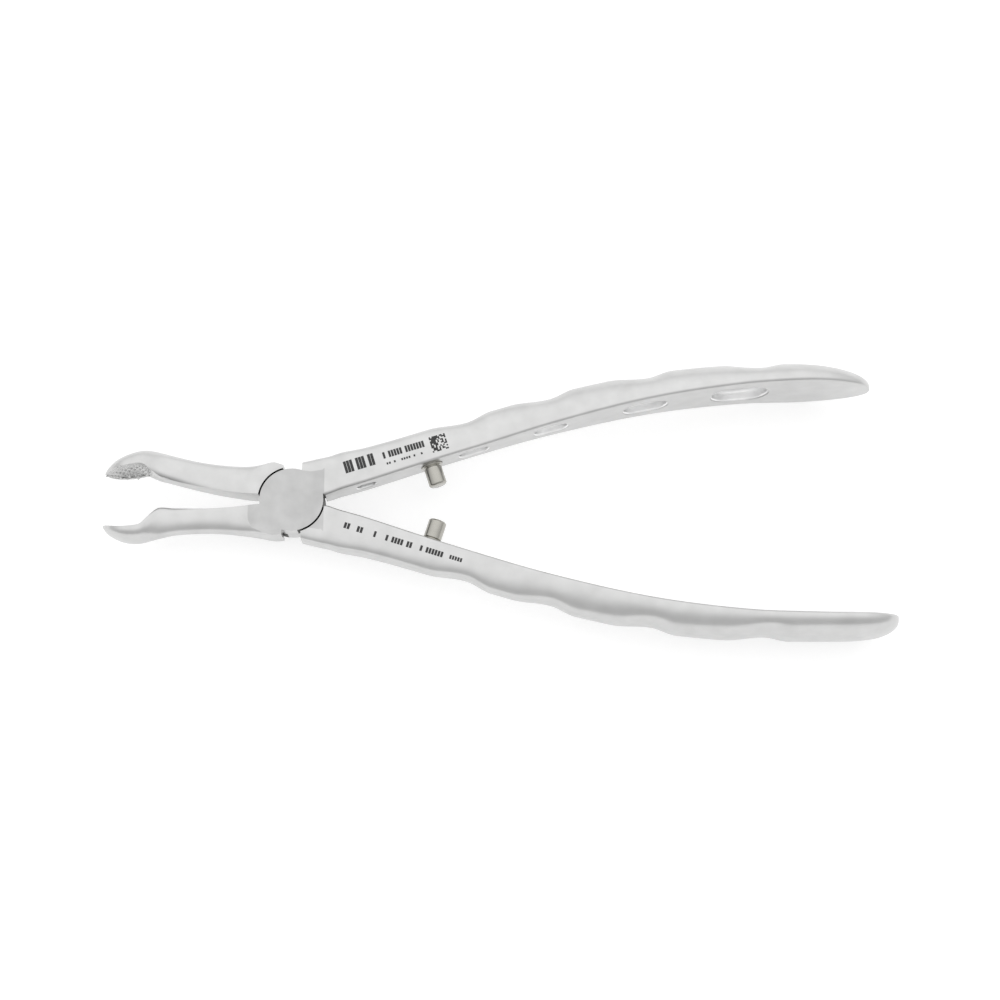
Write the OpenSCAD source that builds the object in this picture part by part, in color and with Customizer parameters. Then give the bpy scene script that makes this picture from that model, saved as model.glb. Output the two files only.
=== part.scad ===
// Dental extraction forceps: two pivoting steel levers with a shoulder screw and two stop posts.
//
// Frame: the pivot axis is Z, the beaks point along -X and the handles along +X.
// The origin is on the pivot axis, on the ground rear face of the joint.
// Both levers share one shape: the rear lever is the front one turned half a turn about X.
// Every limb (a handle, or a neck with its beak) is a solid lofted along +X through sections
// whose inner side faces the other lever.

/* [Joint] */
// Thickness of the joint over both levers
joint_t = 7.2; // [6.8:0.1:8]
// Radius of the disc of each lever
disc_r = 7.05; // [6.8:0.05:7.1]
// Gap between a disc and the recess that it turns in
recess_gap = 0.4; // [0.35:0.05:0.6]
// Gap between the two sliding faces
slide_gap = 0.05; // [0.02:0.01:0.1]
// How far the ground flats run along the handles
flat_end = 7.2; // [7.2:0.1:8]

/* [Handles] */
// Reach of the front lever's handle from the pivot
front_reach = 129; // [126:1:136]
// Reach of the rear lever's handle from the pivot
rear_reach = 133; // [126:0.5:136]
// Extra depth of the front lever's handle
front_stock = 0.5; // [0:0.1:0.8]
// Extra depth of the rear lever's handle
rear_stock = -0.2; // [-0.4:0.1:0.8]
// Depth of the finger grooves
groove_depth = 1.1; // [0:0.1:1.5]
// Width of a handle at the joint
handle_w = 8.4; // [8:0.1:9]
// Width of a handle at its widest place
palm_w = 18.2; // [15:0.2:19]
// Depth of the oval pockets in the inner faces
pocket_depth = 2.8; // [2:0.2:3.2]

/* [Pivot screw] */
// Radius of the shoulder that the rear lever turns on
shoulder_r = 2.5; // [2.2:0.1:2.8]
// Running clearance around the shoulder
run_gap = 0.05; // [0.02:0.01:0.08]
// Radius of the countersunk head
head_r = 3.9; // [3.6:0.1:4.3]
// Radius of the threaded end
thread_r = 1.5; // [1.25:0.25:1.75]

/* [Stop posts] */
// Radius of a post
post_r = 2; // [1.8:0.1:2.2]
// Length of a post above its washer
post_len = 4.6; // [3.6:0.1:4.7]
// Distance of the posts from the pivot, along X
post_x = 30.8; // [29.5:0.1:32]
// Radius of the washer under a post
washer_r = 2.4; // [2.2:0.1:2.6]
// Thickness of the washer
washer_t = 0.6; // [0.4:0.1:0.8]
// Radius of the stud that holds a post
stud_r = 1.25; // [1:0.25:1.5]

/* [Hidden] */
$fn = 64;

STEEL = [0.80, 0.80, 0.79];
NICKEL = [0.84, 0.82, 0.77];

mid_z = joint_t / 2;
// width of a neck's root before its flats are ground
root_w = 8.6;
recess_r = disc_r + recess_gap;
// points around a limb's section
sides = 16;
// how far cutters stand out of what they cut
clear = 2;
// how far a disc reaches into the root of its lever
disc_root = 1;
// how far the ground flats reach round the joint
flat_reach = 16;
// depth of the broken edge along a limb's inner face
lip = 0.7;
// squareness of that edge: 1 is round, 0 is square
lip_curve = 0.4;
// depth of the seat that is faced for a washer
seat_t = 0.3;
stud_len = 4.2;
post_chamfer = 0.35;
thread_len = 2.8;
// gap left at the end of a blind hole
end_gap = 0.3;
head_t = 1.4;
// how far the screw's head lies below the lever's face, and how much its rim is turned down
head_sink = 0.1;
head_rim = 0.15;
slot_w = 0.8;
slot_t = 0.6;
eps = 0.01;

// --- Handles: the inner face, and the depth and width of the section ---
INNER = [[2.2, 0.8], [7.4, 1.15], [10.8, 2.3], [16.5, 4], [28, 7.8], [40, 11.6], [58, 17.1],
    [79, 22.2], [99, 25.1], [114, 25.9], [128, 26], [136, 25.8]];
DEPTH = [[2.2, 8], [7.5, 8.9], [16, 8.2], [25, 7.8], [48, 7.6], [70, 7.2], [90, 6.4], [112, 5.2],
    [136, 4.9]];
WIDTH = [[2.2, joint_t + 0.1], [7.2, joint_t + 0.1], [13.5, handle_w], [44, handle_w], [58, 10.4],
    [79, 13.6], [99, 16.4], [113, palm_w], [136, palm_w]];
// squareness of the outer side: nearly flat faces at the joint, an oval at the palm
CURVE = [[2.2, 0.3], [20, 0.42], [45, 0.7], [70, 0.9], [136, 1]];
// bottoms of the finger grooves, and their two half lengths
GROOVES = [38.5, 57, 79, 104];
groove_in = 9;
groove_out = 5.5;
// where a handle's extra depth starts, and the length over which it grows
stock_start = 8;
stock_run = 28;
// length of the leaf-shaped end, and how blunt it is on each lever
tip_len = 17;
front_bluntness = 1.8;
rear_bluntness = 4;
// where the section is drawn
HANDLE_X = [2.2, 4.5, 7.4, 10, 14, 20, 26, 32, 36, 38.5, 41, 44.5, 49, 54, 57, 59.5, 63, 70, 76,
    79, 81.5, 85, 92, 99, 104, 107, 110];
TIP_STEPS = [0.28, 0.45, 0.6, 0.74, 0.85, 0.93, 0.98, 1];

// Oval pockets: [distance from the pivot, length, width]
POCKETS = [[16.4, 4.4, 3.2], [40.2, 6.8, 4], [57.4, 7.6, 5], [78.6, 9.8, 6.2], [99.8, 12.4, 9]];

// --- Necks and beaks: [distance, inner offset, outer offset, width, squareness] ---
FRONT_BEAK = [[2, 0.9, 7.9, root_w, 0.2], [4.2, 0.9, 8, root_w, 0.2], [7.4, 1, 7.6, 8, 0.35],
    [10.5, 1.35, 7.3, 6.9, 0.5], [16, 1.75, 6.95, 6.2, 0.8], [21, 1.85, 6.95, 5.8, 0.9],
    [26, 1.7, 7.3, 5.9, 0.9], [30, 2.1, 8.2, 7.2, 0.9], [31.5, 3.9, 8.5, 8.4, 0.9],
    [33, 5.6, 8.8, 9.4, 0.9], [35, 6.1, 9, 9.8, 0.9], [37.5, 6.2, 8.7, 9.2, 0.9],
    [39.5, 5.9, 7.9, 7, 0.9], [41, 5.5, 6.9, 4, 0.9], [41.6, 5.4, 6.1, 2, 0.9]];
REAR_BEAK = [[2, 0.9, 8, root_w, 0.2], [4.2, 1, 8.6, root_w, 0.2], [7.4, 1.3, 8.1, 8, 0.35],
    [10.5, 1.5, 7.95, 6.9, 0.45], [16, 2.3, 8.4, 6.2, 0.55], [21, 3.3, 9.2, 5.8, 0.6],
    [26, 4.5, 10.4, 5.9, 0.7], [30, 5.6, 11.45, 7.2, 0.9], [31.5, 6.7, 11.7, 8.4, 0.9],
    [33, 7.6, 11.65, 9.4, 0.9], [35, 7.4, 11.2, 9.8, 0.9], [37.5, 7, 10.2, 9.2, 0.9],
    [39.5, 6.6, 9.1, 7, 0.9], [41, 6.4, 7.7, 4, 0.9], [41.6, 6.4, 7, 2, 0.9]];
// how far a neck's widest place lies from its inner face, which is cut flat across this lobe
SWELL = [[2, 0.7], [8, 0.7], [28, 2.4], [31, 1.8], [33.5, 0.7], [42, 0.4]];
lobe = 2.5;
lobe_curve = 0.5;
// the spoon-shaped hollow of a beak: radius, distance of its middle, depth
hollow_r = 7.5;
hollow_x = 36.6;
hollow_depth = 1.9;

// Slope of a table's curve at row i
function slope(t, i) =
    i == 0 ? (t[1][1] - t[0][1]) / (t[1][0] - t[0][0])
    : i == len(t) - 1 ? (t[i][1] - t[i - 1][1]) / (t[i][0] - t[i - 1][0])
    : (t[i + 1][1] - t[i - 1][1]) / (t[i + 1][0] - t[i - 1][0]);

// Smooth curve through a table of [x, y] rows
function smooth(t, x, i = 0) =
    i < len(t) - 2 && x > t[i + 1][0] ? smooth(t, x, i + 1)
    : let (h = t[i + 1][0] - t[i][0], u = (x - t[i][0]) / h,
        a = t[i][1], b = t[i + 1][1], da = h * slope(t, i), db = h * slope(t, i + 1))
    a + u * da + u * u * (3 * (b - a) - 2 * da - db) + u * u * u * (2 * (a - b) + da + db);

// Depth of the finger grooves at x: long on the joint side, steep on the far side
function groove(x) = groove_depth * max([for (g = GROOVES)
    let (u = x < g ? (g - x) / groove_in : (x - g) / groove_out)
    u < 1 ? (1 + cos(180 * u)) / 2 : 0]);

// One section of a limb: a crowned outer side, widest at low, and an inner side of depth fall
// that is cut flat. The crown is lowered by dip.
function ring(x, inner, outer, width, curve, low, fall, fall_curve, dip = 0) =
    [for (k = [0 : sides - 1])
        let (a = 360 * k / sides, c = cos(a), s = sin(a),
            q = c > 0 ? curve : fall_curve,
            u = pow(abs(c), q),
            v = c > 0 ? low + (outer - low) * u - dip * u * u : max(inner, low - fall * u))
        [x, v, mid_z + width / 2 * sign(s) * pow(abs(s), q)]];

// Height of the leaf-shaped end, from 1 where it starts to a blunt nose
function leaf(u, bluntness) = u >= 1 ? 0.12 : sqrt(1 - pow(u, bluntness)) * 0.88 + 0.12;

function handle_ring(x, stock, size, curve) =
    let (inner = smooth(INNER, x), low = inner + lip,
        depth = smooth(DEPTH, x) + stock * max(0, min(1, (x - stock_start) / stock_run)))
    ring(x, inner, low + (depth - lip) * size, smooth(WIDTH, x) * size, curve, low, lip,
        lip_curve, groove(x) * size);

function handle_rings(reach, stock, bluntness) = concat(
    [for (x = HANDLE_X) handle_ring(x, stock, 1, smooth(CURVE, x))],
    [for (u = TIP_STEPS) handle_ring(reach - tip_len * (1 - u), stock, leaf(u, bluntness), 1)]);

function beak_rings(table) = [for (r = table)
    ring(r[0], r[1], r[2], r[3], r[4], r[1] + min(smooth(SWELL, r[0]), (r[2] - r[1]) / 2), lobe,
        lobe_curve)];

// A closed solid through a list of sections
module limb(rings) {
    n = len(rings);
    sleeve = [for (i = [0 : n - 2], k = [0 : sides - 1]) let (j = (k + 1) % sides)
        [i * sides + k, (i + 1) * sides + k, (i + 1) * sides + j, i * sides + j]];
    start = [for (k = [0 : sides - 1]) k];
    end = [for (k = [0 : sides - 1]) n * sides - 1 - k];
    polyhedron([for (r = rings, p = r) p], concat([start], sleeve, [end]), convexity = 6);
}

// Children at distance x along a handle, with +Z leaving the inner face and X along it
module on_inner_face(x) {
    rise = atan((smooth(INNER, x + 0.5) - smooth(INNER, x - 0.5)));
    translate([x, smooth(INNER, x), mid_z])
        rotate([0, 0, rise])
        rotate([90, 0, 0])
        children();
}

// A pocket with round ends, sunk in an inner face
module oval_pocket(length, width) {
    for (side = [-1, 1])
        translate([side * (length - width) / 2, 0, -pocket_depth])
            cylinder(d = width, h = pocket_depth + clear);
    translate([(width - length) / 2, -width / 2, -pocket_depth])
        cube([length - width, width, pocket_depth + clear]);
}

// Everything of a lever but its screw hole, as the front lever lies
module lever(beak, reach, stock, bluntness) {
    difference() {
        union() {
            translate([0, 0, mid_z - disc_root])
                cylinder(r = disc_r, h = disc_root + mid_z + clear / 4);
            limb(handle_rings(reach, stock, bluntness));
            rotate([0, 0, 180])
                limb(beak_rings(beak));
        }
        // the seat of the other lever's disc
        translate([0, 0, -clear])
            cylinder(r = recess_r, h = clear + mid_z + slide_gap / 2);
        // the ground flats
        for (z = [-clear, joint_t])
            translate([-flat_reach, -flat_reach, z])
                cube([flat_reach + flat_end, 2 * flat_reach, clear]);
        // the hollow of the beak, at its widest section
        rotate([0, 0, 180])
            translate([hollow_x, beak[10][1] - hollow_r + hollow_depth, mid_z])
            sphere(r = hollow_r);
        for (p = POCKETS)
            on_inner_face(p[0])
                oval_pocket(p[1], p[2]);
        // the washer's seat and the stud's hole
        on_inner_face(post_x) {
            translate([0, 0, -seat_t])
                cylinder(r = washer_r + 0.1, h = clear);
            translate([0, 0, -seat_t - stud_len])
                cylinder(r = stud_r, h = stud_len + clear);
        }
    }
}

module stop_post() {
    on_inner_face(post_x)
        translate([0, 0, washer_t - seat_t])
        rotate_extrude()
        polygon([[0, -washer_t - stud_len + end_gap], [stud_r, -washer_t - stud_len + end_gap],
            [stud_r, 0], [post_r, 0], [post_r, post_len - post_chamfer],
            [post_r - post_chamfer, post_len], [0, post_len]]);
}

module post_washer() {
    on_inner_face(post_x)
        translate([0, 0, -seat_t])
        difference() {
            cylinder(r = washer_r, h = washer_t);
            translate([0, 0, -clear])
                cylinder(r = stud_r, h = washer_t + 2 * clear);
        }
}

// Puts what is drawn as the front lever lies where the rear lever's is
module turned() {
    translate([0, 0, joint_t])
        rotate([180, 0, 0])
        children();
}

module front_lever() {
    color(STEEL)
        difference() {
            lever(FRONT_BEAK, front_reach, front_stock, front_bluntness);
            cylinder(r = thread_r, h = mid_z + thread_len);
        }
}

module rear_lever() {
    color(STEEL)
        turned()
        difference() {
            lever(REAR_BEAK, rear_reach, rear_stock, rear_bluntness);
            cylinder(r = shoulder_r + run_gap, h = joint_t + clear);
            translate([0, 0, joint_t - head_t])
                cylinder(r1 = shoulder_r + run_gap, r2 = head_r + run_gap, h = head_t + eps);
        }
}

module pivot_screw() {
    color(STEEL)
        difference() {
            rotate_extrude()
                polygon([[0, head_sink], [head_r - head_rim, head_sink], [shoulder_r, head_t],
                    [shoulder_r, mid_z], [thread_r, mid_z + slide_gap / 2],
                    [thread_r, mid_z + thread_len - end_gap], [0, mid_z + thread_len - end_gap]]);
            translate([-head_r - clear, -slot_w / 2, -clear])
                cube([2 * (head_r + clear), slot_w, clear + head_sink + slot_t]);
        }
}

module front_stop_post() { color(NICKEL) stop_post(); }
module rear_stop_post() { color(NICKEL) turned() stop_post(); }
module front_post_washer() { color(NICKEL) post_washer(); }
module rear_post_washer() { color(NICKEL) turned() post_washer(); }

rear_lever();
front_lever();
pivot_screw();
rear_stop_post();
front_stop_post();
rear_post_washer();
front_post_washer();
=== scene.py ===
import math

import bmesh
import bpy
import numpy as np
from bpy.props import FloatProperty, FloatVectorProperty, PointerProperty
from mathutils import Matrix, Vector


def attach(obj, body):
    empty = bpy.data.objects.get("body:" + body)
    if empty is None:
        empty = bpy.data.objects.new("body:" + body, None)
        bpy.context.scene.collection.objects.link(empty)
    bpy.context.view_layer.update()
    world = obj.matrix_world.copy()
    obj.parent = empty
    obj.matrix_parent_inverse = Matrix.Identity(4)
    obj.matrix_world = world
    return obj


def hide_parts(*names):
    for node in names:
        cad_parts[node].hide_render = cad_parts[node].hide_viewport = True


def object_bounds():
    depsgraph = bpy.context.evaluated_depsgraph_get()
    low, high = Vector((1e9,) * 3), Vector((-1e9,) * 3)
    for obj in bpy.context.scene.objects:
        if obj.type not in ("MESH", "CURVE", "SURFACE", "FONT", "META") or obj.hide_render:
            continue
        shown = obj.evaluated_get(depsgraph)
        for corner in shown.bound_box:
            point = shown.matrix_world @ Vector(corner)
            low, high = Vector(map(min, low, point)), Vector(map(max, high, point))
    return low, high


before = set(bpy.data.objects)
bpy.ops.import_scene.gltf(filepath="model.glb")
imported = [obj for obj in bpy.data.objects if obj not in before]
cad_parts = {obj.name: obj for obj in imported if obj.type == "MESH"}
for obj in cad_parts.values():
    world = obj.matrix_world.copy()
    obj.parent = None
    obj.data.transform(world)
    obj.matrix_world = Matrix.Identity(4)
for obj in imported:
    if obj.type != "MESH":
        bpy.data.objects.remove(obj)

bl_info = {
    "name": "Dental extraction forceps",
    "version": (1, 0, 0),
    "blender": (4, 5, 0),
    "location": "3D View > Sidebar > Forceps",
    "description": "Builds the finished pieces of dental extraction forceps on their CAD frame",
    "category": "Add Mesh",
}

CAD_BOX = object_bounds()
MM = 0.001

# ----- Shape tables, in millimetres: [distance from the pivot, value] -----
INNER = [[2.2, 0.8], [7.4, 1.15], [10.8, 2.3], [16.5, 4], [28, 7.8], [40, 11.6], [58, 17.1],
         [79, 22.2], [99, 25.1], [114, 25.9], [128, 26], [136, 25.8]]
DEPTH = [[2.2, 8], [7.5, 8.9], [16, 8.2], [25, 7.8], [48, 7.6], [70, 7.2], [90, 6.4], [112, 5.2],
         [136, 4.9]]
WIDTH = [[2.2, 7.3], [7.2, 7.3], [13.5, 8.4], [44, 8.4], [58, 10.4], [79, 13.6], [99, 16.4],
         [113, 18.2], [136, 18.2]]
SQUARENESS = [[2.2, 0.3], [20, 0.42], [45, 0.7], [70, 0.9], [136, 1]]
GROOVES = [38.5, 57, 79, 104]
GROOVE_IN = 9
GROOVE_OUT = 5.5
TIP_LENGTH = 17
# where a handle's extra depth starts, and the length over which it grows
STOCK_START = 8
STOCK_RUN = 28
# how blunt the leaf-shaped end of each handle is
FRONT_BLUNTNESS = 1.8
REAR_BLUNTNESS = 4
# oval pockets: distance from the pivot, length, width
POCKETS = [[16.4, 4.4, 3.2], [40.2, 6.8, 4], [57.4, 7.6, 5], [78.6, 9.8, 6.2], [99.8, 12.4, 9]]
# how far a neck's widest place lies from its inner face, which is cut flat across this lobe
SWELL = [[2, 0.7], [8, 0.7], [28, 2.4], [31, 1.8], [33.5, 0.7], [42, 0.4]]
LOBE = 2.5
LOBE_SQUARENESS = 0.5
# points round a section, and how much closer they stand round its corners
SIDES = 96
CORNER_WEIGHT = 0.9
# height that is left at the nose of a handle, as a share
NOSE = 0.06
# where the rear beak starts to roll, and the length over which it does
ROLL_START = 28
ROLL_RUN = 6
# how far a disc reaches into the root of its lever
DISC_ROOT = 1
# metal that stands on a disc until its flat is ground
SPARE = 0.5
# the washer's seat and the stud's hole
SEAT_DEPTH = 0.3
STUD_DEPTH = 4.2
SEAT_GAP = 0.1
# the holes of the pivot screw: running fit, depth of the head, reach of the thread
RUN_GAP = 0.05
HEAD_DEPTH = 1.4
THREAD_DEPTH = 2.8
SLOT_WIDTH = 0.8
# how far cutters stand out of what they cut, and the reach of the ground flats
CLEAR = 4
FLAT_BACK = 13
FLAT_SIDE = 16
# necks and beaks: distance, inner offset, outer offset, width, squareness, hollow
FRONT_BEAK = [[2, 0.9, 7.9, 8.6, 0.2, 0], [4.2, 0.9, 8, 8.6, 0.2, 0], [7.4, 1, 7.6, 8, 0.35, 0],
              [10.5, 1.35, 7.3, 6.9, 0.5, 0], [16, 1.75, 6.95, 6.2, 0.8, 0],
              [21, 1.85, 6.95, 5.8, 0.9, 0], [26, 1.7, 7.3, 5.9, 0.9, 0],
              [29.2, 1.6, 8, 6.8, 0.9, 0], [31.5, 3.9, 8.5, 8.4, 0.9, 0.1],
              [33, 5.6, 8.8, 9.4, 0.9, 0.7], [35, 6.1, 9, 9.8, 0.9, 1.5],
              [37.5, 6.2, 8.7, 9.2, 0.9, 1.4], [39.5, 5.9, 7.9, 7, 0.9, 0.9],
              [41, 5.5, 6.9, 4, 0.9, 0.4], [41.6, 5.4, 6.1, 2, 0.9, 0.1]]
REAR_BEAK = [[2, 0.9, 8, 8.6, 0.2, 0], [4.2, 1, 8.6, 8.6, 0.2, 0], [7.4, 1.3, 8.1, 8, 0.35, 0],
             [10.5, 1.5, 7.95, 6.9, 0.45, 0], [16, 2.3, 8.4, 6.2, 0.55, 0],
             [21, 3.3, 9.2, 5.8, 0.6, 0], [26, 4.5, 10.4, 5.9, 0.7, 0],
             [29.2, 5.4, 11.3, 6.8, 0.85, 0], [31.5, 6.7, 11.7, 8.4, 0.9, 0.2],
             [33, 7.6, 11.65, 9.4, 0.9, 0.9], [35, 7.4, 11.2, 9.8, 0.9, 1.7],
             [37.5, 7, 10.2, 9.2, 0.9, 1.6], [39.5, 6.6, 9.1, 7, 0.9, 1.1],
             [41, 6.4, 7.7, 4, 0.9, 0.4], [41.6, 6.4, 7, 2, 0.9, 0.1]]


def curve(rows, x):
    """Smooth curve through a table's rows, at every x."""
    t = np.array([r[:2] for r in rows], float)
    x = np.asarray(x, float)
    slope = np.empty(len(t))
    slope[1:-1] = (t[2:, 1] - t[:-2, 1]) / (t[2:, 0] - t[:-2, 0])
    slope[0] = (t[1, 1] - t[0, 1]) / (t[1, 0] - t[0, 0])
    slope[-1] = (t[-1, 1] - t[-2, 1]) / (t[-1, 0] - t[-2, 0])
    i = np.clip(np.searchsorted(t[:, 0], x, side="left") - 1, 0, len(t) - 2)
    h = t[i + 1, 0] - t[i, 0]
    u = (x - t[i, 0]) / h
    a, b = t[i, 1], t[i + 1, 1]
    da, db = h * slope[i], h * slope[i + 1]
    return a + u * da + u * u * (3 * (b - a) - 2 * da - db) + u ** 3 * (2 * (a - b) + da + db)


def column(rows, k):
    """The table of [distance, k-th value] rows."""
    return [[r[0], r[k]] for r in rows]


# ----- Sizes and looks that a user may change -----
class JointSizes(bpy.types.PropertyGroup):
    """Sizes of the lap joint"""

    thickness: FloatProperty(name="Thickness", default=7.2 * MM, min=5 * MM, unit="LENGTH",
                             description="Thickness over both halves of the joint")
    disc_radius: FloatProperty(name="Disc radius", default=7.05 * MM, min=5 * MM, unit="LENGTH",
                               description="Radius of the disc of each lever")
    recess_gap: FloatProperty(name="Recess gap", default=0.4 * MM, min=0.1 * MM, unit="LENGTH",
                              description="Gap round a disc in its recess")
    slide_gap: FloatProperty(name="Sliding gap", default=0.05 * MM, min=0.01 * MM, unit="LENGTH",
                             description="Gap between the two sliding faces")
    flat_end: FloatProperty(name="Flat end", default=7.2 * MM, min=6 * MM, unit="LENGTH",
                            description="How far the ground flats run along a handle")


class LeverSizes(bpy.types.PropertyGroup):
    """Sizes of the two levers"""

    front_reach: FloatProperty(name="Front reach", default=129 * MM, min=110 * MM, unit="LENGTH",
                               description="Reach of the front lever's handle")
    rear_reach: FloatProperty(name="Rear reach", default=133 * MM, min=110 * MM, unit="LENGTH",
                              description="Reach of the rear lever's handle")
    front_stock: FloatProperty(name="Front stock", default=0.5 * MM, unit="LENGTH",
                               description="Extra depth of the front lever's handle")
    rear_stock: FloatProperty(name="Rear stock", default=-0.2 * MM, unit="LENGTH",
                              description="Extra depth of the rear lever's handle")
    groove_depth: FloatProperty(name="Groove depth", default=1.1 * MM, min=0, unit="LENGTH",
                                description="Depth of the finger grooves")
    lip: FloatProperty(name="Broken edge", default=0.7 * MM, min=0.2 * MM, unit="LENGTH",
                       description="Depth of the broken edge along the inner faces")
    pocket_depth: FloatProperty(name="Pocket depth",
                                default=2.8 * MM, min=1 * MM, max=3.2 * MM, unit="LENGTH",
                                description="Depth of the oval pockets")
    mouth_radius: FloatProperty(name="Mouth radius",
                                default=0.45 * MM, min=0.05 * MM, unit="LENGTH",
                                description="Rounding of the pockets' mouths")
    beak_roll: FloatProperty(name="Beak roll", default=math.radians(6), unit="ROTATION",
                             description="Turn of the rear lever's beak about its length")


class PostSizes(bpy.types.PropertyGroup):
    """Sizes of the stop posts, their washers and the pivot screw"""

    radius: FloatProperty(name="Post radius", default=2 * MM, min=1 * MM, unit="LENGTH",
                          description="Radius of a stop post")
    length: FloatProperty(name="Post length", default=4.6 * MM, min=2 * MM, unit="LENGTH",
                          description="Length of a post above its washer")
    place: FloatProperty(name="Place", default=30.8 * MM, min=20 * MM, unit="LENGTH",
                         description="Distance of the posts from the pivot")
    washer_radius: FloatProperty(name="Washer radius", default=2.4 * MM, min=1 * MM, unit="LENGTH",
                                 description="Radius of the washer under a post")
    washer_thickness: FloatProperty(name="Washer thickness",
                                    default=0.6 * MM, min=0.2 * MM, unit="LENGTH",
                                    description="Thickness of the washer")
    stud_radius: FloatProperty(name="Stud radius", default=1.25 * MM, min=0.5 * MM, unit="LENGTH",
                               description="Radius of the stud that holds a post")
    shoulder_radius: FloatProperty(name="Shoulder radius",
                                   default=2.5 * MM, min=1 * MM, unit="LENGTH",
                                   description="Radius of the screw's shoulder")
    head_radius: FloatProperty(name="Head radius", default=3.9 * MM, min=2 * MM, unit="LENGTH",
                               description="Radius of the screw's head")
    thread_radius: FloatProperty(name="Thread radius",
                                 default=1.5 * MM, min=0.5 * MM, unit="LENGTH",
                                 description="Radius of the screw's threaded end")


class ToothSizes(bpy.types.PropertyGroup):
    """Sizes of the cut teeth inside the beaks"""

    pitch: FloatProperty(name="Pitch", default=0.85 * MM, min=0.4 * MM, unit="LENGTH",
                         description="Distance between two rows of teeth")
    height: FloatProperty(name="Height", default=0.19 * MM, min=0.1 * MM, unit="LENGTH",
                          description="Height of a tooth")


class SteelLooks(bpy.types.PropertyGroup):
    """Colours and finishes of the metal"""

    satin: FloatVectorProperty(name="Satin steel",
                               default=(0.58, 0.58, 0.577), min=0, max=1, subtype="COLOR",
                               description="Colour of the satin forgings")
    ground: FloatVectorProperty(name="Ground steel",
                                default=(0.5, 0.5, 0.498), min=0, max=1, subtype="COLOR",
                                description="Colour of the ground joint faces")
    polished: FloatVectorProperty(name="Polished steel",
                                  default=(0.43, 0.42, 0.385), min=0, max=1, subtype="COLOR",
                                  description="Colour of the posts and washers")
    # painted highlight: this pale colour paints the bright reflections on the polished pocket walls
    pocket: FloatVectorProperty(name="Pocket steel",
                                default=(0.9, 0.9, 0.9), min=0, max=1, subtype="COLOR",
                                description="Colour of the milled pockets")
    # painted shade: this near-black colour paints the shadow in the joint's gap between the levers
    seam: FloatVectorProperty(name="Seam",
                              default=(0.07, 0.07, 0.065), min=0, max=1, subtype="COLOR",
                              description="Colour of the stained faces in the joint's gap")
    mark: FloatVectorProperty(name="Mark",
                              default=(0.012, 0.012, 0.012), min=0, max=1, subtype="COLOR",
                              description="Colour of the laser marks")
    satin_roughness: FloatProperty(name="Satin roughness", default=0.3, min=0.05, max=1,
                                   description="Roughness of the satin forgings")


class StageLooks(bpy.types.PropertyGroup):
    """The floor, the light and the camera"""

    sky: FloatProperty(name="Overhead light", default=1.3, min=0,
                       description="Strength of the light from above")
    horizon: FloatProperty(name="Side light", default=0.5, min=0, max=1,
                           description="Share of that strength left at the front horizon")
    lean: FloatProperty(name="Sky lean", default=math.radians(30), unit="ROTATION",
                        description="Lean of the bright part of the sky to the back")
    floor: FloatProperty(name="Floor glow", default=0.55, min=0,
                         description="Light that the floor itself gives back")
    tilt: FloatProperty(name="Camera tilt", default=math.radians(13.75), unit="ROTATION",
                        description="Lean of the camera away from straight down")
    distance: FloatProperty(name="Camera distance", default=430 * MM, min=0.1, unit="LENGTH",
                            description="Distance of the camera from its target")
    target: FloatVectorProperty(name="Camera target",
                                default=(45.98 * MM, 0.745 * MM, 3.6 * MM),
                                subtype="TRANSLATION", unit="LENGTH",
                                description="Point that the camera looks at")
    lens: FloatProperty(name="Lens", default=69.7, min=20,
                        description="Focal length in millimetres")


# ----- Mesh helpers -----
def new_mesh(name, points, faces):
    """A closed mesh from points in millimetres, with its normals outwards."""
    mesh = bpy.data.meshes.new(name)
    mesh.from_pydata([tuple(p * MM) for p in np.asarray(points, float)], [], faces)
    bm = bmesh.new()
    bm.from_mesh(mesh)
    bmesh.ops.recalc_face_normals(bm, faces=bm.faces)
    bm.to_mesh(mesh)
    bm.free()
    return mesh


def new_object(name, mesh):
    """An object of that mesh in the scene, at the origin."""
    obj = bpy.data.objects.new(name, mesh)
    bpy.context.scene.collection.objects.link(obj)
    return obj


def loft(name, rings):
    """A closed solid through rings of equal length, with a flat cap on each end."""
    rings = np.asarray(rings, float)
    n, m = rings.shape[:2]
    faces = []
    for i in range(n - 1):
        for k in range(m):
            j = (k + 1) % m
            faces.append((i * m + k, (i + 1) * m + k, (i + 1) * m + j, i * m + j))
    faces.append(tuple(range(m)))
    faces.append(tuple((n - 1) * m + k for k in reversed(range(m))))
    return new_mesh(name, rings.reshape(-1, 3), faces)


def circle(r, z, steps):
    """Points round a level circle about Z."""
    return [(r * math.cos(2 * math.pi * k / steps), r * math.sin(2 * math.pi * k / steps), z)
            for k in range(steps)]


def lathe(name, profile, steps=96, place=None):
    """A closed solid turned about Z from (radius, height) points that start and end on the axis."""
    points, faces = [], []
    rows = []
    for r, z in profile:
        if r < 1e-6:
            rows.append([len(points)] * steps)
            points.append((0, 0, z))
        else:
            rows.append(list(range(len(points), len(points) + steps)))
            points += circle(r, z, steps)
    for a, b in zip(rows, rows[1:]):
        for k in range(steps):
            j = (k + 1) % steps
            face = list(dict.fromkeys((a[k], a[j], b[j], b[k])))
            if len(face) > 2:
                faces.append(tuple(face))
    points = np.array(points, float)
    return new_mesh(name, place(points) if place else points, faces)


def box(name, low, high):
    """A box between two corners, for cutting."""
    x, y, z = zip(low, high)
    points = [(x[i], y[j], z[k]) for i in (0, 1) for j in (0, 1) for k in (0, 1)]
    faces = [(0, 1, 3, 2), (4, 6, 7, 5), (0, 4, 5, 1), (2, 3, 7, 6), (0, 2, 6, 4), (1, 5, 7, 3)]
    return new_mesh(name, points, faces)


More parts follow.
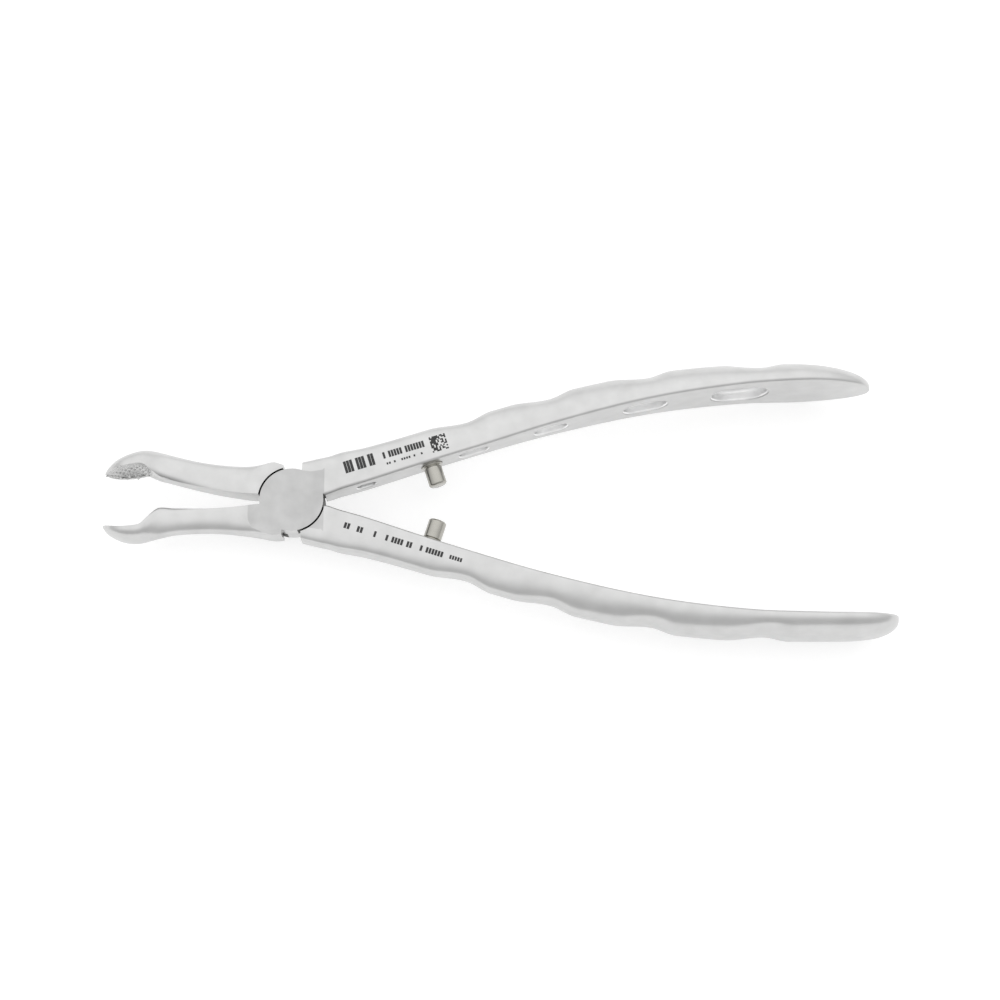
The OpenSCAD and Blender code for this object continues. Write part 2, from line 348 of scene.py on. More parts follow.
def combine(name, mesh, steps):
    """The mesh after (operation, mesh) booleans in turn."""
    base = new_object(name + "_base", mesh)
    tools = []
    for i, (operation, tool_mesh) in enumerate(steps):
        tool = new_object(f"{name}_tool{i}", tool_mesh)
        mod = base.modifiers.new(f"step{i}", "BOOLEAN")
        mod.operation = operation
        mod.object = tool
        mod.solver = "MANIFOLD"
        tools.append(tool)
    graph = bpy.context.evaluated_depsgraph_get()
    graph.update()
    result = bpy.data.meshes.new_from_object(base.evaluated_get(graph), depsgraph=graph)
    for obj in [base, *tools]:
        bpy.data.objects.remove(obj)
    if len(result.polygons) < 20:
        raise RuntimeError(f"{name}: the boolean steps left nothing")
    result.name = name
    return result


def finish_mesh(mesh, merge=0.004, sharp=32):
    """Merges doubles and splits the shading at edges sharper than that angle."""
    bm = bmesh.new()
    bm.from_mesh(mesh)
    bmesh.ops.remove_doubles(bm, verts=bm.verts, dist=merge * MM)
    bmesh.ops.dissolve_degenerate(bm, edges=bm.edges, dist=merge * MM / 2)
    bm.to_mesh(mesh)
    bm.free()
    mesh.shade_smooth()
    mesh.set_sharp_from_angle(angle=math.radians(sharp))
    return mesh


def add_piece(name, mesh, body, materials, replaced=()):
    """The finished piece, riding on its body."""
    finish = np.empty(len(mesh.polygons), np.int32)
    mesh.polygons.foreach_get("material_index", finish)
    mesh.materials.clear()
    for material in materials:
        mesh.materials.append(material)
    mesh.polygons.foreach_set("material_index", np.minimum(finish, len(materials) - 1))
    obj = new_object(name, mesh)
    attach(obj, body)
    if replaced:
        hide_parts(*replaced)
    return obj


# ----- Shapes of the levers -----
def spread(v, z):
    """Points along a closed outline, evenly spaced and closer round the corners."""
    step = np.hypot(np.diff(v), np.diff(z))
    solid = np.concatenate([[True], step > 1e-6])
    v, z = v[solid], z[solid]
    step = np.hypot(np.diff(v), np.diff(z))
    heading = np.unwrap(np.arctan2(np.diff(z), np.diff(v)))
    turning = np.abs(np.diff(heading, prepend=heading[0]))
    weight = step / step.sum() + CORNER_WEIGHT * turning / turning.sum()
    path = np.concatenate([[0], np.cumsum(weight)])
    want = np.arange(SIDES) / SIDES * path[-1]
    return np.stack([np.interp(want, path, v), np.interp(want, path, z)], 1)


def crown(a, low, outer, width, square, dip):
    """The outer side of a section, at angles a, as (offset, height)."""
    u = np.abs(np.cos(a)) ** square
    z = width / 2 * np.sign(np.sin(a)) * np.abs(np.sin(a)) ** square
    return low + (outer - low) * u - dip * u * u, z


def handle_outline(inner, outer, width, square, edge, dip):
    """Section of a handle: a crowned outer side, a flat inner side and rounded edges between."""
    low = inner + edge
    quarter = np.pi / 2
    v1, z1 = crown(np.linspace(0, quarter, 361), low, outer, width, square, dip)
    t = np.linspace(0, quarter, 31)[1:]
    v2, z2 = low - edge * np.sin(t), width / 2 - edge * (1 - np.cos(t))
    v3, z3 = v2[::-1], -z2[::-1]
    v4, z4 = crown(np.linspace(-quarter, 0, 361), low, outer, width, square, dip)
    return spread(np.concatenate([v1, v2, v3, v4]), np.concatenate([z1, z2, z3, z4]))


def beak_outline(inner, outer, width, square, swell, hollow):
    """Section of a neck or beak, widest at swell from its flat or hollowed inner side."""
    low = inner + min(swell, (outer - inner) / 2)
    a = np.linspace(0, 2 * np.pi, 1441)
    v1, z1 = crown(a, low, outer, width, square, 0)
    v2 = np.maximum(inner, low - LOBE * np.abs(np.cos(a)) ** LOBE_SQUARENESS)
    z2 = width / 2 * np.sign(np.sin(a)) * np.abs(np.sin(a)) ** LOBE_SQUARENESS
    out = np.cos(a) > 0
    v, z = np.where(out, v1, v2), np.where(out, z1, z2)
    if hollow > 0:
        across = np.clip(np.abs(z) / (width / 2 - 0.45), 0, 1)
        v = v + np.where(out, 0, hollow * (1 - across ** 2.4) * np.clip(-np.cos(a) * 8, 0, 1))
    return spread(v, z)


def groove(x, depth):
    """Depth of the finger grooves at x: long on the joint side and steep on the far side."""
    g = np.array(GROOVES)[:, None]
    x = np.asarray(x, float)[None]
    u = np.clip(np.where(x < g, (g - x) / GROOVE_IN, (x - g) / GROOVE_OUT), 0, 1)
    return depth * ((1 + np.cos(np.pi * u)) / 2).max(0)


def handle_rings(levers, reach, stock, mid, bluntness):
    """Sections of a handle, out to its leaf-shaped end."""
    edge = levers.lip / MM
    start = reach - TIP_LENGTH
    xs = np.concatenate([np.linspace(2.2, start, 190)[:-1],
                         start + TIP_LENGTH * np.sin(np.linspace(0, np.pi / 2, 36))])
    inner, square = curve(INNER, xs), curve(SQUARENESS, xs)
    u = np.clip((xs - start) / TIP_LENGTH, 0, 1)
    leaf = np.sqrt(np.clip(1 - u ** bluntness, 0, 1)) * (1 - NOSE) + NOSE
    depth = curve(DEPTH, xs) + stock * np.clip((xs - STOCK_START) / STOCK_RUN, 0, 1)
    outer = inner + edge + (depth - edge) * leaf
    width = curve(WIDTH, xs) * leaf
    dip = groove(xs, levers.groove_depth / MM) * leaf
    rings = []
    for x, i, o, w, q, d, f in zip(xs, inner, outer, width, square, dip, leaf):
        points = handle_outline(i, o, w, q, edge * min(1, 0.25 + f), d)
        rings.append([(x, v, mid + z) for v, z in points])
    return rings


def beak_rings(table, mid, roll):
    """Sections of a neck and its spoon-shaped beak."""
    xs = np.concatenate([np.arange(2, 28, 0.5), np.arange(28, 41.2, 0.2),
                         np.linspace(41.25, 41.75, 5)])
    columns = [curve(column(table, k), xs) for k in range(1, 6)]
    swell = curve(SWELL, xs)
    rings = []
    for x, i, o, w, q, h, low in zip(xs, *columns, swell):
        points = beak_outline(i, o, max(w, 0.8), q, low, max(h, 0))
        angle = roll * np.clip((x - ROLL_START) / ROLL_RUN, 0, 1)
        centre = (i + o) / 2
        ca, sa = math.cos(angle), math.sin(angle)
        rings.append([(-x, -(centre + (v - centre) * ca + z * sa), mid + z * ca - (v - centre) * sa)
                      for v, z in points])
    return rings


def on_inner_face(x, mid):
    """A function that puts points at distance x along a handle, with +Z leaving the inner face."""
    rise = math.atan(float(curve(INNER, x + 0.5) - curve(INNER, x - 0.5)))
    along = np.array([math.cos(rise), math.sin(rise), 0])
    away = np.array([math.sin(rise), -math.cos(rise), 0])
    side = np.array([0, 0, 1.0])
    origin = np.array([x, float(curve(INNER, x)), mid])

    def place(points):
        p = np.asarray(points, float)
        return origin + p[:, :1] * along + p[:, 1:2] * side + p[:, 2:3] * away

    def back(points):
        d = np.asarray(points, float) - origin
        return np.stack([d @ along, d @ side, d @ away], 1)

    return place, back


def slot_outline(length, width, grow, steps=28):
    """Outline of an oval hole, grown outwards."""
    r, half = width / 2 + grow, (length - width) / 2
    right = [(half + r * math.cos(t), r * math.sin(t))
             for t in np.linspace(-np.pi / 2, np.pi / 2, steps)]
    return right + [(-x, -y) for x, y in right]


def pocket_cutter(levers, pocket, mid):
    """Cutter of one oval pocket, with a rounded mouth and a rounded floor."""
    x, length, width = pocket
    r, floor = levers.mouth_radius / MM, levers.pocket_depth / MM
    corner = min(1.2, width * 0.3)
    levels = [(CLEAR / 2, r)]
    levels += [(-r * (1 - math.sin(t)), r * (1 - math.cos(t)))
               for t in np.linspace(np.pi / 2, 0, 7)]
    levels += [(-floor + corner * (1 - math.sin(t)), -corner * (1 - math.cos(t)))
               for t in np.linspace(0, np.pi / 2, 7)]
    place, _ = on_inner_face(x, mid)
    rings = [place([(a, b, h) for a, b in slot_outline(length, width, grow)])
             for h, grow in levels]
    return loft("pocket", rings)


def lever_mesh(name, joint, levers, posts, beak, reach, stock, bluntness, roll, turned):
    """A whole lever as the front one lies, with its joint half, holes and seats."""
    thick = joint.thickness / MM
    mid = thick / 2
    slide = joint.slide_gap / MM / 2
    disc_r = joint.disc_radius / MM
    recess_r = disc_r + joint.recess_gap / MM
    flat_end = joint.flat_end / MM
    root, top = mid - DISC_ROOT, thick + SPARE
    disc = [(0, root), (disc_r, root), (disc_r, top), (0, top)]
    recess = [(0, -6), (recess_r, -6), (recess_r, mid + slide), (0, mid + slide)]
    steps = [("UNION", loft("beak", beak_rings(beak, mid, roll))),
             ("UNION", lathe("disc", disc, 180)),
             ("DIFFERENCE", lathe("recess", recess, 180))]
    for low in (thick, -CLEAR):
        steps.append(("DIFFERENCE", box("flat", (-FLAT_BACK, -FLAT_SIDE, low),
                                        (flat_end, FLAT_SIDE, low + CLEAR))))
    steps += [("DIFFERENCE", pocket_cutter(levers, pocket, mid)) for pocket in POCKETS]
    place, _ = on_inner_face(posts.place / MM, mid)
    washer, stud = posts.washer_radius / MM + SEAT_GAP, posts.stud_radius / MM
    bottom = -SEAT_DEPTH - STUD_DEPTH
    seat = [(0, bottom), (stud, bottom), (stud, -SEAT_DEPTH), (washer, -SEAT_DEPTH), (washer, 0.1),
            (washer + 0.15, 0.4), (washer + 0.15, 2), (0, 2)]
    steps.append(("DIFFERENCE", lathe("seat", seat, 72, place)))
    if turned:
        bore = posts.shoulder_radius / MM + RUN_GAP
        sink = posts.head_radius / MM + RUN_GAP
        hole = [(0, -1), (bore, -1), (bore, thick - HEAD_DEPTH), (sink, thick), (sink, thick + 1),
                (0, thick + 1)]
        steps.append(("DIFFERENCE", lathe("bore", hole, 96)))
    else:
        thread, end = posts.thread_radius / MM, mid + THREAD_DEPTH
        hole = [(0, -1), (thread, -1), (thread, end), (0, end)]
        steps.append(("DIFFERENCE", lathe("thread", hole, 64)))
    mesh = combine(name, loft("handle", handle_rings(levers, reach, stock, mid, bluntness)), steps)
    finish_mesh(mesh)
    paint_faces(mesh, joint, levers)
    if turned:
        turn_over(mesh, thick)
    return mesh


def turn_over(mesh, thick):
    """Turns a mesh half a turn about X, so that it lies as the rear lever does."""
    co = np.empty(len(mesh.vertices) * 3)
    mesh.vertices.foreach_get("co", co)
    co = co.reshape(-1, 3)
    co[:, 1] *= -1
    co[:, 2] = thick * MM - co[:, 2]
    mesh.vertices.foreach_set("co", co.ravel())
    mesh.update()


def paint_faces(mesh, joint, levers):
    """Gives each face its finish: 0 satin, 1 ground flat, 2 pocket (a painted highlight), 3 gap
    faces (painted shade).
    """
    n = len(mesh.polygons)
    centre, normal = np.empty(n * 3), np.empty(n * 3)
    mesh.polygons.foreach_get("center", centre)
    mesh.polygons.foreach_get("normal", normal)
    centre, normal = centre.reshape(-1, 3) / MM, normal.reshape(-1, 3)
    thick = joint.thickness / MM
    disc = joint.disc_radius / MM
    radius = np.hypot(centre[:, 0], centre[:, 1])
    finish = np.zeros(n, int)
    flat = (np.abs(normal[:, 2]) > 0.999) & (np.abs(centre[:, 0]) < FLAT_BACK + 1)
    flat &= (radius < disc + 0.3) | (centre[:, 0] > 0)
    # the two outer faces and the sliding face
    for level, near in ((thick, 0.02), (0, 0.02), (thick / 2, 0.06)):
        finish[flat & (np.abs(centre[:, 2] - level) < near)] = 1
    # painted shade: the recess walls, and the parts of the disc's rim that the other lever stands
    # against, get a near-black colour for the shadow in the joint's gap
    inside = (radius > disc - 0.06) & (radius < disc + joint.recess_gap / MM + 0.06)
    angle = np.degrees(np.arctan2(centre[:, 1], centre[:, 0]))
    covered = ((angle > 98) & (angle < 178)) | ((angle > -78) & (angle < 12))
    covered |= radius > disc + joint.recess_gap / MM / 2
    finish[inside & covered & (np.abs(normal[:, 2]) < 0.2)] = 3
    # the pocket walls get the pale colour, a painted highlight
    floor = -levers.pocket_depth / MM - 0.2
    for x, length, width in POCKETS:
        _, back = on_inner_face(x, thick / 2)
        p = back(centre)
        half = (length - width) / 2
        reach = np.hypot(np.maximum(np.abs(p[:, 0]) - half, 0), p[:, 1]) - width / 2
        finish[(reach < 0.3) & (p[:, 2] < -0.05) & (p[:, 2] > floor)] = 2
    mesh.polygons.foreach_set("material_index", finish)


# ----- Node helpers -----
def add_node(tree, kind, given=None, **settings):
    """A new node: settings are its properties, and given holds its inputs' values or links."""
    node = tree.nodes.new(kind)
    for key, value in settings.items():
        setattr(node, key, value)
    for key, value in (given or {}).items():
        if isinstance(value, bpy.types.NodeSocket):
            tree.links.new(value, node.inputs[key])
        else:
            node.inputs[key].default_value = value
    return node


def add_ramp(tree, value, stops):
    """The colour that a ramp through (position, colour) stops gives for a value."""
    ramp = add_node(tree, "ShaderNodeValToRGB", {"Fac": value})
    elements = ramp.color_ramp.elements
    elements[0].position, elements[0].color = stops[0]
    elements[1].position, elements[1].color = stops[-1]
    for position, colour in stops[1:-1]:
        elements.new(position).color = colour
    return ramp.outputs["Color"]


# ----- Materials -----
# scales of the patterns, per metre, and the relief of the grain in metres
CLOUD_SCALE = 260
GRAIN_SCALE = 5200
OXIDE_SCALE = 3000
GRAIN_RELIEF = 0.00002


def shade(colour, factor):
    """A colour made darker or lighter."""
    return (*[min(1, c * factor) for c in colour], 1)


def steel(name, colour, roughness, grain=1.0, spread=0.05, stretch=(60, 400, 400), swirl=False):
    """A metal with fine grain, faint clouds and rubbed streaks."""
    mat = bpy.data.materials.new(name)
    mat.use_nodes = True
    tree = mat.node_tree
    tree.nodes.clear()
    coords = add_node(tree, "ShaderNodeTexCoord").outputs["Object"]
    cloud = add_node(tree, "ShaderNodeTexNoise",
                     {"Vector": coords, "Scale": CLOUD_SCALE, "Detail": 4})
    tone = add_ramp(tree, cloud.outputs["Fac"], [(0.3, shade(colour, 1 - spread)),
                                                 (0.7, shade(colour, 1 + spread))])
    mapping = add_node(tree, "ShaderNodeMapping", {"Vector": coords, "Scale": stretch})
    along = mapping.outputs["Vector"]
    if swirl:
        streak = add_node(tree, "ShaderNodeTexWave",
                          {"Vector": along, "Scale": 1.0, "Distortion": 0.6},
                          wave_type="RINGS", rings_direction="Z")
    else:
        streak = add_node(tree, "ShaderNodeTexNoise", {"Vector": along, "Scale": 6, "Detail": 3})
    rough = add_node(tree, "ShaderNodeMapRange",
                     {"Value": streak.outputs["Fac"], "To Min": roughness * 0.85,
                      "To Max": roughness * 1.15})
    fine = add_node(tree, "ShaderNodeTexNoise",
                    {"Vector": coords, "Scale": GRAIN_SCALE, "Detail": 2})
    height = add_node(tree, "ShaderNodeMath", {0: fine.outputs["Fac"], 1: streak.outputs["Fac"]},
                      operation="ADD")
    bump = add_node(tree, "ShaderNodeBump",
                    {"Strength": 0.12 * grain, "Distance": GRAIN_RELIEF,
                     "Height": height.outputs["Value"]})
    shader = add_node(tree, "ShaderNodeBsdfPrincipled",
                      {"Metallic": 1.0, "Base Color": tone, "Roughness": rough.outputs["Result"],
                       "Normal": bump.outputs["Normal"]})
    add_node(tree, "ShaderNodeOutputMaterial", {"Surface": shader.outputs["BSDF"]})
    return mat


def mark_material(colour):
    """Dark oxide of a laser mark, a little uneven."""
    mat = bpy.data.materials.new("laser_mark")
    mat.use_nodes = True
    tree = mat.node_tree
    shader = tree.nodes["Principled BSDF"]
    shader.inputs["Roughness"].default_value = 0.55
    coords = add_node(tree, "ShaderNodeTexCoord").outputs["Object"]
    noise = add_node(tree, "ShaderNodeTexNoise", {"Vector": coords, "Scale": OXIDE_SCALE})
    tone = add_ramp(tree, noise.outputs["Fac"], [(0, shade(colour, 1)), (1, shade(colour, 3))])
    tree.links.new(tone, shader.inputs["Base Color"])
    return mat


def get_material(name):
    """One of the finishes, made when it is first asked for."""
    if name in bpy.data.materials:
        return bpy.data.materials[name]
    looks = bpy.context.scene.forceps_steel
    if name == "laser_mark":
        return mark_material(looks.mark)
    colour, roughness, *others = {
        "satin_forging": (looks.satin, looks.satin_roughness),
        "ground_face": (looks.ground, 0.42, 1.4, 0.07, (300, 300, 300)),
        # the pocket finish's pale colour is a painted highlight on the polished walls
        "pocket_painted_highlight": (looks.pocket, 0.3, 0.4, 0.1, (1200, 60, 60)),
        # the near-black finish of the joint's gap faces is painted shade
        "gap_painted_shade": (looks.seam, 0.5, 1.0, 0.2),
        "polished_post": (looks.polished, 0.17, 0.5, 0.06),
        "turned_screw": (looks.ground, 0.24, 0.8, 0.05, (1500, 1500, 1500), True),
    }[name]
    return steel(name, colour, roughness, *others)


# ----- Geometry Nodes -----
def tree_with_inputs(name, inputs):
    """A geometry tree with named inputs, and the identifiers of their sockets."""
    tree = bpy.data.node_groups.new(name, "GeometryNodeTree")
    tree.interface.new_socket("Geometry", in_out="INPUT", socket_type="NodeSocketGeometry")
    ids = {}
    for label, kind, value in inputs:
        socket = tree.interface.new_socket(label, in_out="INPUT", socket_type=kind)
        if value is not None:
            socket.default_value = value
        ids[label] = socket.identifier
    tree.interface.new_socket("Geometry", in_out="OUTPUT", socket_type="NodeSocketGeometry")
    return tree, ids


def grow(tree, ids, name, values, start=None):
    """The plain mesh that a tree makes with those values."""
    holder = new_object(name + "_grow", start or bpy.data.meshes.new(name))
    mod = holder.modifiers.new("grow", "NODES")
    mod.node_group = tree
    for label, value in values.items():
        mod[ids[label]] = value
    graph = bpy.context.evaluated_depsgraph_get()
    graph.update()
    mesh = bpy.data.meshes.new_from_object(holder.evaluated_get(graph), depsgraph=graph)
    holder.modifiers.clear()
    bpy.data.objects.remove(holder)
    if not mesh.polygons:
        raise RuntimeError(f"{name}: the geometry tree made no faces")
    mesh.name = name
    return mesh


def finish_tree(tree, geometry, metal):
    """Ends a tree: real meshes of that metal."""
    real = add_node(tree, "GeometryNodeRealizeInstances", {"Geometry": geometry})
    paint = add_node(tree, "GeometryNodeSetMaterial",
                     {"Geometry": real.outputs["Geometry"], "Material": metal})
    add_node(tree, "NodeGroupOutput", {"Geometry": paint.outputs["Geometry"]})


# reach of the rays that find the beak, and how squarely they must meet it
TOOTH_RAY = 0.02
TOOTH_STEEP = -0.55
# radii of a tooth's foot and top as shares of the pitch, and how deep it sinks in, in metres
TOOTH_FOOT = 0.7
TOOTH_TOP = 0.06
TOOTH_SINK = 0.00004
# marks fall on a lever from a height, and stand a little off it, in metres
MARK_FROM = 0.03
MARK_RAY = 0.05
MARK_LIFT = 0.000012


def tooth_tree():
    """Rows of small pyramids that stand on a lever's beak."""
    tree, ids = tree_with_inputs("beak_teeth", [
        ("Lever", "NodeSocketObject", None),
        ("Centre", "NodeSocketVector", None),
        ("Aim", "NodeSocketVector", None),
        ("Pitch", "NodeSocketFloat", 0.001),
        ("Height", "NodeSocketFloat", 0.0003),
        ("Rows", "NodeSocketInt", 12),
        ("Clear From", "NodeSocketFloat", 0.0),
        ("Clear Above", "NodeSocketFloat", 0.0),
        ("Middle", "NodeSocketFloat", 0.0),
        ("Reach", "NodeSocketFloat", 0.003),
        ("Metal", "NodeSocketMaterial", None),
    ])
    given = add_node(tree, "NodeGroupInput").outputs

    def calc(operation, *values):
        node = add_node(tree, "ShaderNodeMath", dict(enumerate(values)), operation=operation)
        return node.outputs[0]

    across = calc("MULTIPLY", given["Pitch"], calc("SUBTRACT", given["Rows"], 1))
    grid = add_node(tree, "GeometryNodeMeshGrid",
                    {"Size X": across, "Size Y": across, "Vertices X": given["Rows"],
                     "Vertices Y": given["Rows"]})
    # the grid stands upright and on its corner, in front of the beak
    corner = add_node(tree, "GeometryNodeTransform",
                      {"Geometry": grid.outputs["Mesh"], "Rotation": (0, 0, math.pi / 4)})
    stand = add_node(tree, "GeometryNodeTransform",
                     {"Geometry": corner.outputs["Geometry"], "Rotation": (math.pi / 2, 0, 0),
                      "Translation": given["Centre"]})
    points = add_node(tree, "GeometryNodeMeshToPoints", {"Mesh": stand.outputs["Geometry"]})
    info = add_node(tree, "GeometryNodeObjectInfo", {"Object": given["Lever"]},
                    transform_space="RELATIVE")
    ray = add_node(tree, "GeometryNodeRaycast",
                   {"Target Geometry": info.outputs["Geometry"], "Ray Direction": given["Aim"],
                    "Ray Length": TOOTH_RAY}).outputs
    # drop what misses the beak, lies on its rim or on a steep side, or in the smooth patch
    spot = add_node(tree, "ShaderNodeSeparateXYZ", {"Vector": ray["Hit Position"]}).outputs
    facing = add_node(tree, "ShaderNodeVectorMath", {0: ray["Hit Normal"], 1: given["Aim"]},
                      operation="DOT_PRODUCT")
    patch = calc("MULTIPLY", calc("GREATER_THAN", spot["X"], given["Clear From"]),
                 calc("GREATER_THAN", spot["Z"], given["Clear Above"]))
    miss = calc("SUBTRACT", 1, ray["Is Hit"])
    steep = calc("GREATER_THAN", facing.outputs["Value"], TOOTH_STEEP)
    rim = calc("GREATER_THAN", calc("ABSOLUTE", calc("SUBTRACT", spot["Z"], given["Middle"])),
               given["Reach"])
    drop = calc("MAXIMUM", calc("MAXIMUM", patch, miss), calc("MAXIMUM", steep, rim))
    kept = add_node(tree, "GeometryNodeDeleteGeometry",
                    {"Geometry": points.outputs["Points"], "Selection": drop}, domain="POINT")
    normal = add_node(tree, "GeometryNodeCaptureAttribute",
                      {"Geometry": kept.outputs["Geometry"]}, domain="POINT")
    normal.capture_items.new("VECTOR", "Normal")
    tree.links.new(ray["Hit Normal"], normal.inputs[1])
    moved = add_node(tree, "GeometryNodeSetPosition",
                     {"Geometry": normal.outputs["Geometry"], "Position": ray["Hit Position"]})
    tooth = add_node(tree, "GeometryNodeMeshCone",
                     {"Vertices": 4, "Radius Bottom": calc("MULTIPLY", given["Pitch"], TOOTH_FOOT),
                      "Radius Top": calc("MULTIPLY", given["Pitch"], TOOTH_TOP),
                      "Depth": given["Height"]})
    sunk = add_node(tree, "GeometryNodeTransform",
                    {"Geometry": tooth.outputs["Mesh"], "Translation": (0, 0, -TOOTH_SINK)})
    # Z leaves the surface and X follows the beak
    turn = add_node(tree, "FunctionNodeAlignRotationToVector", {"Vector": normal.outputs[1]},
                    axis="Z")
    face = add_node(tree, "FunctionNodeAlignRotationToVector",
                    {"Vector": (1, 0, 0), "Rotation": turn.outputs["Rotation"]},
                    axis="X", pivot_axis="Z")
    teeth = add_node(tree, "GeometryNodeInstanceOnPoints",
                     {"Points": moved.outputs["Geometry"], "Instance": sunk.outputs["Geometry"],
                      "Rotation": face.outputs["Rotation"]})
    finish_tree(tree, teeth.outputs["Instances"], given["Metal"])
    return tree, ids


def mark_tree():
    """A block of small dark cells, some of them left out, laid on a lever's front."""
    tree, ids = tree_with_inputs("laser_marks", [
        ("Lever", "NodeSocketObject", None),
        ("Place", "NodeSocketVector", None),
        ("Turn", "NodeSocketFloat", 0.0),
        ("Length", "NodeSocketFloat", 0.01),
        ("Height", "NodeSocketFloat", 0.002),
        ("Columns", "NodeSocketInt", 10),
        ("Rows", "NodeSocketInt", 1),
        ("Kept", "NodeSocketFloat", 0.6),
        ("Gap", "NodeSocketFloat", 1.0),
        ("Seed", "NodeSocketInt", 1),
        ("Metal", "NodeSocketMaterial", None),
    ])
    given = add_node(tree, "NodeGroupInput").outputs

    def plus_one(socket):
        return add_node(tree, "ShaderNodeMath", {0: socket, 1: 1}).outputs[0]

    grid = add_node(tree, "GeometryNodeMeshGrid",
                    {"Size X": given["Length"], "Size Y": given["Height"],
                     "Vertices X": plus_one(given["Columns"]),
                     "Vertices Y": plus_one(given["Rows"])})
    chance = add_node(tree, "FunctionNodeRandomValue", data_type="BOOLEAN")
    tree.links.new(given["Kept"], chance.inputs["Probability"])
    tree.links.new(given["Seed"], chance.inputs["Seed"])
    flip = add_node(tree, "FunctionNodeBooleanMath", {0: chance.outputs[3]}, operation="NOT")
    thin = add_node(tree, "GeometryNodeDeleteGeometry",
                    {"Geometry": grid.outputs["Mesh"], "Selection": flip.outputs["Boolean"]},
                    domain="FACE")
    split = add_node(tree, "GeometryNodeSplitEdges", {"Mesh": thin.outputs["Geometry"]})
    shrink = add_node(tree, "GeometryNodeScaleElements",
                      {"Geometry": split.outputs["Mesh"], "Scale": given["Gap"]}, domain="FACE")
    fine = add_node(tree, "GeometryNodeSubdivideMesh",
                    {"Mesh": shrink.outputs["Geometry"], "Level": 2})
    spin = add_node(tree, "ShaderNodeCombineXYZ", {"Z": given["Turn"]})
    turn = add_node(tree, "FunctionNodeEulerToRotation", {"Euler": spin.outputs["Vector"]})
    lay = add_node(tree, "GeometryNodeTransform",
                   {"Geometry": fine.outputs["Mesh"], "Translation": given["Place"],
                    "Rotation": turn.outputs["Rotation"]})
    info = add_node(tree, "GeometryNodeObjectInfo", {"Object": given["Lever"]},
                    transform_space="RELATIVE")
    ray = add_node(tree, "GeometryNodeRaycast",
                   {"Target Geometry": info.outputs["Geometry"], "Ray Direction": (0, 0, -1),
                    "Ray Length": MARK_RAY}).outputs
    lift = add_node(tree, "ShaderNodeVectorMath", {0: ray["Hit Position"], 1: (0, 0, MARK_LIFT)},
                    operation="ADD")
    drop = add_node(tree, "GeometryNodeSetPosition",
                    {"Geometry": lay.outputs["Geometry"], "Selection": ray["Is Hit"],
                     "Position": lift.outputs["Vector"]})
    finish_tree(tree, drop.outputs["Geometry"], given["Metal"])
    return tree, ids


def join_meshes(name, meshes):
    """One mesh of several."""
    bm = bmesh.new()
    for mesh in meshes:
        bm.from_mesh(mesh)
    joined = bpy.data.meshes.new(name)
    bm.to_mesh(joined)
    bm.free()
    return joined


# ----- Operators -----
# the pocket finish is a painted highlight, and the finish of the joint's gap faces is painted shade
LEVER_MATERIALS = ["satin_forging", "ground_face", "pocket_painted_highlight", "gap_painted_shade"]


def build_lever(scene, side, table, bluntness, roll, turned):
    """Makes one whole lever and hands it over as a finished piece."""
    levers = scene.forceps_levers
    reach, stock = getattr(levers, side + "_reach") / MM, getattr(levers, side + "_stock") / MM
    name = side + "_lever_forging"
    mesh = lever_mesh(name, scene.forceps_joint, levers, scene.forceps_posts, table, reach, stock,
                      bluntness, roll, turned)
    add_piece(name, mesh, side + "_lever",
              [get_material(m) for m in LEVER_MATERIALS], [side + "_lever"])


class FORCEPS_OT_front_lever(bpy.types.Operator):
    """Build the front lever: disc, lower beak and upper handle"""

    bl_idname = "forceps.front_lever"
    bl_label = "Front lever"

    def execute(self, context):
        build_lever(context.scene, "front", FRONT_BEAK, FRONT_BLUNTNESS, 0, False)
        return {"FINISHED"}


class FORCEPS_OT_rear_lever(bpy.types.Operator):
    """Build the rear lever: rear joint half, upper beak and lower handle"""

    bl_idname = "forceps.rear_lever"
    bl_label = "Rear lever"

    def execute(self, context):
        roll = -context.scene.forceps_levers.beak_roll
        build_lever(context.scene, "rear", REAR_BEAK, REAR_BLUNTNESS, roll, True)
        return {"FINISHED"}


class FORCEPS_OT_pivot_screw(bpy.types.Operator):
    """Build the pivot screw, with its slotted head sunk in the rear lever"""

    bl_idname = "forceps.pivot_screw"
    bl_label = "Pivot screw"

    def execute(self, context):
        scene = context.scene
        posts = scene.forceps_posts
        mid = scene.forceps_joint.thickness / MM / 2
        slide = scene.forceps_joint.slide_gap / MM / 2
        head, shoulder, thread = (posts.head_radius / MM, posts.shoulder_radius / MM,
                                  posts.thread_radius / MM)
        end = mid + THREAD_DEPTH - 0.3
        profile = [(0, 0.16), (head - 0.6, 0.13), (head - 0.25, 0.12), (head - 0.12, 0.2),
                   (shoulder, HEAD_DEPTH), (shoulder, mid - 0.1), (shoulder - 0.1, mid),
                   (thread + 0.05, mid + slide), (thread, mid + 0.1), (thread, end - 0.2),
                   (thread - 0.25, end), (0, end)]
        solid = lathe("screw", profile, 96)
        slot = box("slot", (-head - 1, -SLOT_WIDTH / 2, -1), (head + 1, SLOT_WIDTH / 2, 0.7))
        mesh = finish_mesh(combine("pivot_screw_turned", solid, [("DIFFERENCE", slot)]))
        add_piece("pivot_screw_turned", mesh, "front_lever",
                  [get_material("turned_screw")], ["pivot_screw"])
        return {"FINISHED"}


